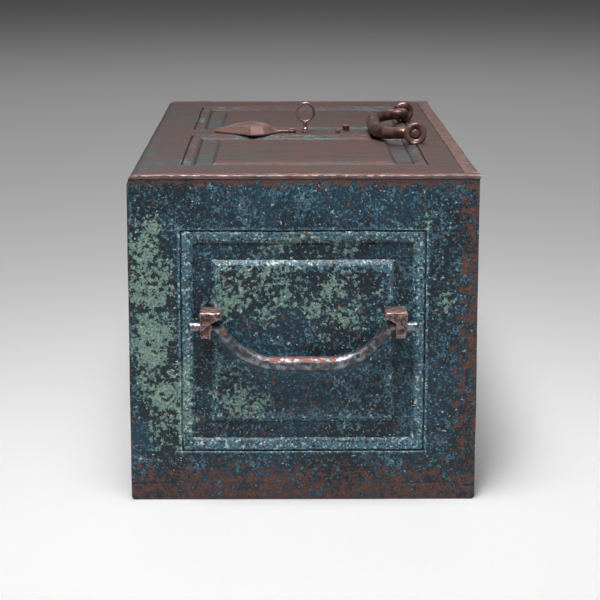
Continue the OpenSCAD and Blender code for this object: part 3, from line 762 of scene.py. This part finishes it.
def handle_rings(board, node):
    """Both halves end to end, with a radius that falls from the grip to the pin."""
    half, elbow_x = handle_path(node)
    flat = np.concatenate([half[::-1] * [-1, 1], half[1:]])
    across = np.abs(flat[:, 0])
    stations = [0, 22 * MM, 50 * MM, 70 * MM, elbow_x - 3 * MM, elbow_x + 1 * MM]
    radii = np.interp(across, stations, np.array([6.65, 6.5, 5.9, 5.4, 5.0, 4.35]) * MM)
    path = on_face(board, np.column_stack([flat, np.full(len(flat), PIN_OFF)]))
    radii = radii + 0.14 * MM * waves(path, 22 * MM, 77)
    radii = np.where(across > elbow_x, PIN_R, radii)
    return rounded_ends(path, radii, board[3])


for side in ("near", "far"):
    rings = handle_rings(FACES[side], f"{side}_bail")
    piece(f"{side}_handle", [solid(rings)], f"{side}_handle",
          [f"{side}_bail"], HANDLE, sharp=60, nick=None)

# %% [markdown]
# ## Prisms with worn edges
# Lugs, nuts and plates are outlines with a thickness. Their edges are rounded by shrinking the
# outline a little at the top and the bottom, each point moving along the bisector of its corner.

# %% A prism with rounded edges
def denser(outline, step):
    """The outline with extra points on its straight sides."""
    closed = np.vstack([outline, outline[:1]])
    rows = []
    for start, stop in zip(closed[:-1], closed[1:]):
        count = max(1, int(np.linalg.norm(stop - start) / step))
        rows.append(start + (stop - start) * (np.arange(count) / count)[:, None])
    return np.concatenate(rows)


def shrunk(outline, amount):
    """Each point moves inwards by the amount, along the mean normal of its two sides."""
    ahead = np.roll(outline, -1, axis=0) - outline
    behind = outline - np.roll(outline, 1, axis=0)
    ahead /= np.linalg.norm(ahead, axis=1)[:, None]
    behind /= np.linalg.norm(behind, axis=1)[:, None]
    normal = np.column_stack([-(ahead + behind)[:, 1], (ahead + behind)[:, 0]])
    normal /= np.linalg.norm(normal, axis=1)[:, None]
    return outline + normal * amount


def prism(outline, low, high, round_r, step=2 * MM, to_space=None):
    """A stack of outlines from low to high, shrunk at both ends by a quarter circle."""
    outline = denser(np.array(outline, float), step)
    levels = [(low + round_r * (1 - np.cos(a)), round_r * (1 - np.sin(a)))
              for a in np.radians([0, 30, 60, 90])]
    levels += [(low + high - z, s) for z, s in levels[::-1]]
    flat = [np.column_stack([shrunk(outline, s), np.full(len(outline), z)]) for z, s in levels]
    rings = np.array(flat)
    if to_space is not None:
        rings = to_space(rings)
    points, faces = surface(rings)
    edges = np.repeat([0, 0.8, 1, 0, 0, 1, 0.8, 0], len(outline))
    return points, faces, edges.astype(float)


# %% [markdown]
# ## The handle lugs
# Each lug has an ear over the pin, shaped like a small shield and proud of the face, and a
# narrower tail below, where the pin goes through.

# %% Make the handle lugs
def lug_parts(board, side):
    """The tail and the shield of one lug, drawn for the right hand and mirrored for the left."""
    low, high, pivot = lug_low.z, lug_high.z, LUG_PIVOT
    out = lug_high.x
    inner = out - 11 * MM
    tail = [(inner + 1.5 * MM, low + 5 * MM), (out - 1 * MM, low + 5.5 * MM),
            (out - 0.4 * MM, low + 8 * MM), (out - 0.2 * MM, pivot + 12 * MM),
            (inner + 0.6 * MM, pivot + 12 * MM)]
    ear = [(inner, pivot + 5 * MM), (out, pivot - 2 * MM), (out + 0.2 * MM, high - 1 * MM),
           (out - 1 * MM, high), (inner - 7 * MM, high - 0.5 * MM),
           (inner - 8.2 * MM, high - 2 * MM), (inner - 8 * MM, pivot + 8.5 * MM),
           (inner - 3 * MM, pivot + 6.8 * MM)]
    layers = ((tail, -STRIP, 24 * MM), (ear, 19 * MM, 26 * MM), (ear, -1 * MM, 20 * MM))
    parts = []
    for outline, near, far in layers:
        shape = np.array(outline)
        if side < 0:
            shape = (shape * [-1, 1])[::-1]
        parts.append(prism(shape, near, far, 1.2 * MM, to_space=lambda r: on_face(board, r)))
    return parts


for end in ("near", "far"):
    parts = lug_parts(FACES[end], 1) + lug_parts(FACES[end], -1)
    piece(f"{end}_handle_lugs", parts, "box", [f"{end}_lugs"], LUG, nick=0.5 * MM)

# %% [markdown]
# ## The lid's bail
# The bail is a heavy bar with two arms. Its pins sit in ring eyes, and at rest it lies almost
# flat on the lid. The path is drawn level and then tilted about its pins.

# %% Make the lid's bail
EYE_X = middle_of("lid_eyes")[0]
EYE_Z = TOP + 10 * MM
EYE_Y = 100 * MM
ARM_Y = 88 * MM
REACH = 36.5 * MM
REST_TILT = np.radians(4)


def lid_bail_rings():
    """Pin to pin along |x / reach|^3 + |y / arm|^3 = 1; the section is thickest on the bar."""
    t = np.radians(np.linspace(90, 0, 60))
    curve = np.column_stack([-REACH * np.cos(t) ** (2 / 3), ARM_Y * np.sin(t) ** (2 / 3)])
    pin = np.array([[0, EYE_Y + 3.4 * MM], [0, ARM_Y + 3.2 * MM]])
    flat = even_path(np.concatenate([pin, curve]), 1.6 * MM)
    flat = np.concatenate([flat, flat[::-1][1:] * [1, -1]])
    aside = np.abs(flat[:, 1])
    stations = np.array([0, 62, 75, 88, 93, 96]) * MM
    radii = np.interp(aside, stations, np.array([7.0, 6.9, 6.3, 5.7, 5.2, 4.4]) * MM)
    radii = np.where(flat[:, 0] > -4 * MM, np.minimum(radii, 5.3 * MM), radii)
    x = EYE_X + flat[:, 0] * np.cos(REST_TILT)
    z = EYE_Z + flat[:, 0] * np.sin(REST_TILT)
    path = np.column_stack([x, flat[:, 1], z])
    radii = radii + np.where(aside < 90 * MM, 0.12 * MM * waves(path, 20 * MM, 78), 0)
    return rounded_ends(path, radii, (-np.sin(REST_TILT), 0, np.cos(REST_TILT)), dome=0.2)


def fitting(name, parts, node, body="lid", sharp=32):
    """A piece of brown iron that keeps its drawn shape."""
    piece(name, parts, body, [node], FITTING, sharp=sharp, nick=None)


fitting("lid_handle_bar", [solid(lid_bail_rings())], "lid_bail", body="lid_handle", sharp=60)

# %% [markdown]
# ## Ring eyes
# An eye is a rounded section carried round a circle, on a short neck. The section is a
# superellipse, which is flatter than a circle and keeps the look of forged stock.

# %% Make the ring eyes
def ring_eye(y):
    """A torus of superellipse section: |r|^n + |h|^n = 1 scaled to the ring's thickness."""
    mean_r, half_r, half_y = 8.1 * MM, 3.3 * MM, 4 * MM
    around = np.linspace(0, 2 * np.pi, 64, endpoint=False)
    a = np.linspace(0, 2 * np.pi, 24, endpoint=False)
    power = 0.75
    r = mean_r + half_r * np.sign(np.cos(a)) * np.abs(np.cos(a)) ** power
    h = half_y * np.sign(np.sin(a)) * np.abs(np.sin(a)) ** power
    x = EYE_X + r[None] * np.cos(around)[:, None]
    z = EYE_Z + r[None] * np.sin(around)[:, None]
    rings = np.stack([x, np.broadcast_to(y + h, x.shape), z], axis=-1)
    return solid(rings, edge=0.3, closed=True)


def turned(centre, profile, axis=2, sides=40):
    """A lathe shape: (radius, height) points turned about an axis through the centre."""
    a = np.linspace(0, 2 * np.pi, sides, endpoint=False)
    profile = np.array(profile, float)
    rings = np.zeros((len(profile), sides, 3))
    first, second = [k for k in range(3) if k != axis]
    rings[..., first] = profile[:, :1] * np.cos(a)
    rings[..., second] = profile[:, :1] * np.sin(a)
    rings[..., axis] = profile[:, 1:]
    return rings + np.array(centre, float)


def lathe(centre, profile, edge=0.0, closed=False):
    """A part turned about the vertical, from a profile in millimetres."""
    return solid(turned(centre, np.array(profile) * MM), edge, closed)


neck = [(4.4, -16), (4.4, 0.2), (6.2, 0.4), (6.4, 1.4), (5.4, 2.4), (4.2, 3.2)]
eye_parts = []
for y in (-EYE_Y, EYE_Y):
    eye_parts += [ring_eye(y), lathe((EYE_X, y, TOP), neck, 0.5)]
fitting("lid_ring_eyes", eye_parts, "lid_eyes", sharp=50)

# %% [markdown]
# ## The key
# The bow is a ring of wire that is a little flattened on one shoulder, the stem has a bead and
# a foot where it meets the lid, and the bit is hidden in the lock.

# %% Make the key
key_low, key_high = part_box("key")
KEY_X = middle_of("key")[0]
BOW_R = 9.4 * MM
BOW_Z = key_high.z - BOW_R - 1.2 * MM


def key_parts():
    """Bow: a torus whose radius is trimmed at one shoulder. Stem: a lathe profile."""
    count = 72
    a = np.linspace(0, 2 * np.pi, count, endpoint=False)
    shoulder = 0.09 * np.exp(-((a - np.radians(125)) / 0.35) ** 2)
    radius = BOW_R * (1 - shoulder + 0.03 * np.sin(a) - 0.03 * np.sin(3 * a))
    taper = 1 - 0.2 * ((1 - np.sin(a)) / 2) ** 2
    level = np.zeros(count)
    across = KEY_X + radius * np.cos(a) * taper
    path = np.column_stack([across, level, BOW_Z + radius * np.sin(a)])
    out = np.column_stack([np.cos(a), level, np.sin(a)])
    b = np.linspace(0, 2 * np.pi, 20, endpoint=False)
    wire = 1.15 * MM
    bow = path[:, None] + wire * (np.cos(b)[None, :, None] * out[:, None]
                                  + np.sin(b)[None, :, None] * np.array([0, 1, 0]))
    stem_top = BOW_Z - BOW_R + 0.4 * MM - TOP
    low = key_low.z - TOP
    profile = [(2.1, 0), (3.2, 0.1), (3.3, 1.1), (2.6, 2), (2.7, 2.6), (2.9, 3.4), (2.5, 4.4),
               (1.9, 5), (1.8, 6.5), (2.3, 7.8)]
    top = [(2.6 * MM, stem_top), (1.6 * MM, stem_top + 1 * MM)]
    profile = np.concatenate([[(2.1 * MM, low)], np.array(profile) * MM, top])
    bit = [(1, -26.2), (5.4, -26.2), (5.4, -24), (4.2, -24),
           (4.2, -22.6), (5.4, -22.6), (5.4, -18.2), (1, -18.2)]
    flat = np.array(bit) * MM + [KEY_X, TOP]
    plate = prism(flat, -1.2 * MM, 1.2 * MM, 0.2 * MM,
                  to_space=lambda r: np.stack([r[..., 0], -r[..., 2], r[..., 1]], axis=-1))
    return [solid(bow, closed=True), solid(turned((KEY_X, 0, TOP), profile)), plate]


piece("lock_key", key_parts(), "key", ["key"], KEY, sharp=50, nick=None)

# %% [markdown]
# ## The keyhole cover
# A leaf-shaped casting with a flat top and filed bevels, thin at its tip and drawn down to an
# eye at its pivot. Rings of the outline are stacked from the lid up, each smaller than the last.

# %% Make the keyhole cover
PIVOT = np.array(middle_of("cover_pivot"))
# Stations along the leaf from its pivot, each with half the leaf's width there.
LEAF_EDGE = np.array([(12, 3.5), (18, 17), (28, 30), (41.5, 36), (60, 19.5), (77, 4.5),
                      (80.5, 2)]) * MM
LEAF_CREST = np.array([(18, 2.6), (22, 12), (30, 22), (42, 28), (57, 15.5), (72, 3.6),
                       (75, 1.8)]) * MM


def leaf_outline(half, lift):
    """Both sides of the leaf from stations (along, half width), at a height above the lid."""
    near = np.column_stack([-half[:, 0], -half[:, 1], lift])
    return np.concatenate([near, (near * [1, -1, 1])[::-1]])


def leaf_part():
    """Straight lines between matching stations, so that each bevel is a flat facet."""
    low = np.full(7, 0.5 * MM)
    edge_top = np.array([1.6, 1.6, 1.7, 1.8, 1.8, 1.8, 1.8]) * MM
    crest_top = np.array([2.6, 5.6, 8.2, 9.2, 8.0, 5.2, 4.8]) * MM
    rings = [leaf_outline(LEAF_EDGE * [1, 0.6], low), leaf_outline(LEAF_EDGE, low),
             leaf_outline(LEAF_EDGE, edge_top), leaf_outline(LEAF_CREST, crest_top),
             leaf_outline(LEAF_CREST * [1, 0.1], crest_top)]
    rings = np.array(rings) + [PIVOT[0], PIVOT[1], TOP]
    points, faces = surface(rings)
    edges = np.repeat([0.3, 0.8, 1, 1, 0], rings.shape[1])
    return points, faces, edges.astype(float)


strap_line = [(0, -3.4), (-14, -3.4), (-17, -2.6), (-17, 2.6), (-14, 3.4), (0, 3.4)]
strap_line = np.array(strap_line)[::-1] * MM + PIVOT
strap = prism(strap_line, TOP + 0.5 * MM, TOP + 2.6 * MM, 0.4 * MM)
eye = [(2.6, 0.4), (4.4, 0.4), (4.7, 0.8), (4.7, 2.6), (4.4, 2.9), (2.6, 2.9)]
leaf_parts = [leaf_part(), strap, lathe((*PIVOT, TOP), eye, 0.6, closed=True)]
leaf = piece("leaf_cover", leaf_parts, "cover", ["keyhole_cover"], POLISHED,
             sharp=20, nick=None)
worn = leaf.modifiers.new("worn edges", "BEVEL")
worn.width = 0.5 * MM
worn.segments = 2
worn.angle_limit = np.radians(24)

# %% [markdown]
# ## Small turned parts
# The button, the rivet of the cover and the stud are lathe shapes. The stud's slot is a narrow
# groove, so its head is made in two halves with a thin core between them.

# %% Make the button, the rivet and the stud
button = [(1.7, -13), (1.7, -1.5), (2.7, -1.5), (2.7, 2.6), (2.4, 3.4), (1.4, 3.9)]
collar = [(1.8, -10), (3.4, -10), (3.4, -8.2), (1.8, -8.2)]
place = (*middle_of("catch_button"), TOP)
button_parts = [lathe(place, button, 0.4), lathe(place, collar, closed=True)]
fitting("press_button", button_parts, "catch_button", body="button")
rivet = [(2.4, -10), (2.4, 3.2), (3.5, 3.25), (3.3, 4), (2.2, 4.5), (0.8, 4.6)]
fitting("cover_rivet", [lathe((*PIVOT, TOP), rivet, 0.4)], "cover_pivot")


def slotted_head(centre):
    """Two half discs either side of the slot, on a low core and a shank."""
    parts = [lathe(centre, [(2.5, -12), (2.5, 0), (3.4, 0.1), (3.4, 4.4)])]
    for side in (90, -90):
        shape = arc((0, 0), 3.5 * MM, side - 78, side + 78, 24)
        parts.append(prism(shape + centre[:2], TOP + 4.2 * MM, TOP + 6.1 * MM, 0.4 * MM))
    return parts


fitting("slotted_stud_head", slotted_head((*middle_of("slotted_stud"), TOP)), "slotted_stud")

# %% [markdown]
# ## The rim and the hinge edge
# The rim is a flat strip with a worn, nicked nose. At the hinge corner its top follows the
# round of the lid's edge. The hinge bar itself is a round nose that runs the whole length.

# %% Carry a section along a straight line
def extrusion(section, low, high, axis, count):
    """The section's (first, second) points at count stations between two places on an axis."""
    places = np.linspace(low, high, count)
    rings = np.zeros((count, len(section), 3))
    others = [k for k in range(3) if k != axis]
    rings[..., others[0]] = section[:, 0]
    rings[..., others[1]] = section[:, 1]
    rings[..., axis] = places[:, None]
    return rings


def rounded_rect(x0, x1, y0, y1, r, steps=5):
    """A rectangle whose corners are quarter circles."""
    centres = [(x1 - r, y1 - r), (x0 + r, y1 - r), (x0 + r, y0 + r), (x1 - r, y0 + r)]
    starts = (0, 90, 180, 270)
    return np.concatenate([arc(c, r, a, a + 90, steps) for c, a in zip(centres, starts)])


def nicked_highlight_line(points):
    """1 on the outer top edge of the rim, nicked and lightened there as a painted highlight; else
    0.
    """
    high = (points[:, 2] > TOP - 1.2 * MM) & (points[:, 2] < TOP - 0.1 * MM)
    outer = (np.abs(points[:, 1]) > HALF_L - 1 * MM) | (points[:, 0] > HALF_W - 1 * MM)
    return np.where(high & outer, 1.0, 0.0)


# %% Make the rim
rim_low, rim_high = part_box("top_rim")
RIM_IN = HALF_L - 12.3 * MM
RIM_ROUND = 1.1 * MM
PROUD = 0.6 * MM
rim_parts = []
for side in (-1, 1):
    ys = sorted([side * rim_high.y, side * RIM_IN])
    section = rounded_rect(ys[0], ys[1], rim_low.z, TOP, RIM_ROUND)
    rings = extrusion(section, HINGE_X - 7.7 * MM, HALF_W + PROUD, 0, 260)
    x = np.minimum(rings[..., 0], HINGE_X)
    round_z = np.sqrt(np.maximum((NOSE_R + PROUD) ** 2 - (x - HINGE_X) ** 2, 0))
    height = np.maximum(HINGE_Z + round_z - PROUD - rim_low.z, PROUD)
    share_up = (rings[..., 2] - rim_low.z) / (TOP - rim_low.z)
    rings[..., 2] = np.where(x < HINGE_X, rim_low.z + share_up * height, rings[..., 2])
    rim_parts.append(solid(rings, nicked_highlight_line))
section = rounded_rect(HALF_W - 12.5 * MM, HALF_W, rim_low.z, TOP, RIM_ROUND)
rings = extrusion(section, -RIM_IN + 0.1 * MM, RIM_IN - 0.1 * MM, 1, 300)
rim_parts.append(solid(rings, nicked_highlight_line))
piece("lid_rim", rim_parts, "box", ["top_rim"], RIM, nick=0.45 * MM)

# %% Make the hinge edge of the lid
bar_low, bar_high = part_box("lid_hinge_bar")
left_of_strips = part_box("lid_surround")[0].x - SEAM
round_part = arc((HINGE_X, HINGE_Z), NOSE_R, 90, 270, 24)
block = [(bar_high.x, bar_low.z), (bar_high.x, TOP - STRIP),
         (left_of_strips, TOP - STRIP), (left_of_strips, TOP)]
section = np.concatenate([round_part, block])
rings = extrusion(section, bar_low.y, bar_high.y, 1, 200)
piece("lid_hinge_edge", [solid(rings)], "lid", ["lid_hinge_bar"], LID)

# %% [markdown]
# ## Plain parts with softened edges
# Some parts of the model have the right shape and only need their edges broken. A copy of the
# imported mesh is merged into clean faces, and a Bevel modifier rounds what is sharp.

# %% Copies with bevelled edges
SHARP_FROM = 35


def softened(node, body, material, width):
    """A copy of the node with its doubles merged, its flats joined and its edges bevelled."""
    mesh = frame["nodes"][node].data.copy()
    mesh.name = f"{node}_soft"
    work = bmesh.new()
    work.from_mesh(mesh)
    bmesh.ops.remove_doubles(work, verts=work.verts, dist=1e-6)
    bmesh.ops.dissolve_limit(work, angle_limit=0.01, verts=work.verts, edges=work.edges)
    work.to_mesh(mesh)
    work.free()
    mesh.materials.clear()
    made = add_piece(f"{node}_soft", mesh, body, [node], material, SHARP_FROM)
    bevel = made.modifiers.new("worn edges", "BEVEL")
    bevel.width = width
    bevel.segments = 3
    bevel.limit_method = "ANGLE"
    bevel.angle_limit = np.radians(SHARP_FROM)


softened("base_band", "box", PAINT, 0.7 * MM)
softened("eye_nuts", "lid", WORKS, 0.5 * MM)
print("softened the foot band and the nuts")

# %% [markdown]
# ## Hinge pins
# The lid turns on two hidden pins. Paint has closed over their ends, so here they stop inside.

# %% Make the hinge pins
pin_low, pin_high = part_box("hinge_pins")
pin_r = (pin_high.x - pin_low.x) / 2
pin_in = HALF_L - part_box("lid_hinge_bar")[1].y + 20 * MM
pin_profile = np.array([(pin_r, 1.2 * MM), (pin_r, pin_in)])
pin_rings = [turned((HINGE_X, -HALF_L, HINGE_Z), pin_profile, axis=1),
             turned((HINGE_X, HALF_L, HINGE_Z), pin_profile * [1, -1], axis=1)]
piece("hinge_pin_pair", [solid(rings) for rings in pin_rings], "box",
      ["hinge_pins"], WORKS, nick=None)

# %% [markdown]
# ## Parts that stay as they are
# Everything inside, and the lock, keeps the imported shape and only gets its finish.

# %% Give every remaining part its finish
FINISH_OF = {"inside_iron": INSIDE, "lid_fittings": FITTING, "lock_works": WORKS,
             "spring_steel": WORKS}
SLOT_OF = {row["node"]: row["material_slot"] for row in frame["record"]["subparts"]}
kept = [name for name, node in frame["nodes"].items() if not node.hide_render]
for name in kept:
    mesh = frame["nodes"][name].data
    mesh.materials.clear()
    mesh.materials.append(FINISH_OF[SLOT_OF[name]])
print("kept the shape of", len(kept), "parts")

# %% [markdown]
# ## The studio
# A plain pale floor runs back into the distance and darkens as it leaves the light. It could be
# a curved backdrop, but a flat sheet gives the same soft horizon with four points.

# %% The floor
def studio_floor(reach=30.0, grey=0.46):
    """A large sheet at the height of the foot, of a middle grey that strong light makes pale."""
    mesh = bpy.data.meshes.new("floor")
    corners = [(-reach, -reach, 0), (reach, -reach, 0), (reach, reach, 0), (-reach, reach, 0)]
    mesh.from_pydata(corners, [], [(0, 1, 2, 3)])
    material = bpy.data.materials.new("floor_white")
    material.use_nodes = True
    shader = material.node_tree.nodes["Principled BSDF"]
    shader.inputs["Base Color"].default_value = (grey, grey, grey, 1)
    shader.inputs["Roughness"].default_value = 0.7
    mesh.materials.append(material)
    add_object("floor", mesh)


studio_floor()

# %% [markdown]
# ## The light
# One large soft light hangs above and in front, so that every ledge that faces up shines and
# every hollow is dark. A narrow one picks out the near end, a weak one fills its shadows, and
# the last lifts the floor far behind. The world gives a little light from all sides.

# %% The lights
def area_light(name, place, target, size, power, spread=180):
    """A square soft light at a place, turned to face the target; its spread is in degrees."""
    data = bpy.data.lights.new(name, "AREA")
    data.shape = "SQUARE"
    data.size = size
    data.energy = power
    data.spread = np.radians(spread)
    made = add_object(name, data)
    made.location = place
    made.rotation_euler = (Vector(target) - Vector(place)).to_track_quat("-Z", "Y").to_euler()


area_light("overhead", (-0.12, -0.80, 2.4), (0, -0.60, 0.0), 1.0, 84)
area_light("end_light", (-0.25, -1.45, 2.0), (0, -0.33, 0.14), 0.45, 2.0, spread=40)
area_light("front_fill", (0.4, -3.2, 1.2), (0, 0, 0.2), 2.0, 3)
area_light("backdrop_light", (0, 3, 3.5), (0, 3, 0), 3.0, 62)
world = bpy.data.worlds.new("studio")
bpy.context.scene.world = world
world.use_nodes = True
background = world.node_tree.nodes["Background"]
background.inputs["Color"].default_value = (0.5, 0.5, 0.5, 1)
background.inputs["Strength"].default_value = 0.2
print("lights:", ", ".join(light.name for light in bpy.data.lights))

# %% [markdown]
# ## The camera, and how light becomes colour
# The camera stands off the near end, higher than the lid, with a long lens, so that the far end
# is hardly smaller. The plain view transform keeps dark paint dark; the filmic one lifts it.

# %% The camera
bpy.context.scene.view_settings.view_transform = "Standard"
CAMERA_PLACE = (-0.0183, -2.0242, 0.5296)
LOOK_DOWN = np.radians(11.49)
TURN = np.radians(0.52)
LENS = 117.3
camera_data = bpy.data.cameras.new("camera")
camera_data.lens = LENS
camera_data.sensor_width = 36
camera = add_object("camera", camera_data)
camera.location = CAMERA_PLACE
camera.rotation_euler = (np.pi / 2 - LOOK_DOWN, 0, -TURN)
bpy.context.scene.camera = camera
print("camera at", CAMERA_PLACE, "with a lens of", LENS, "mm")
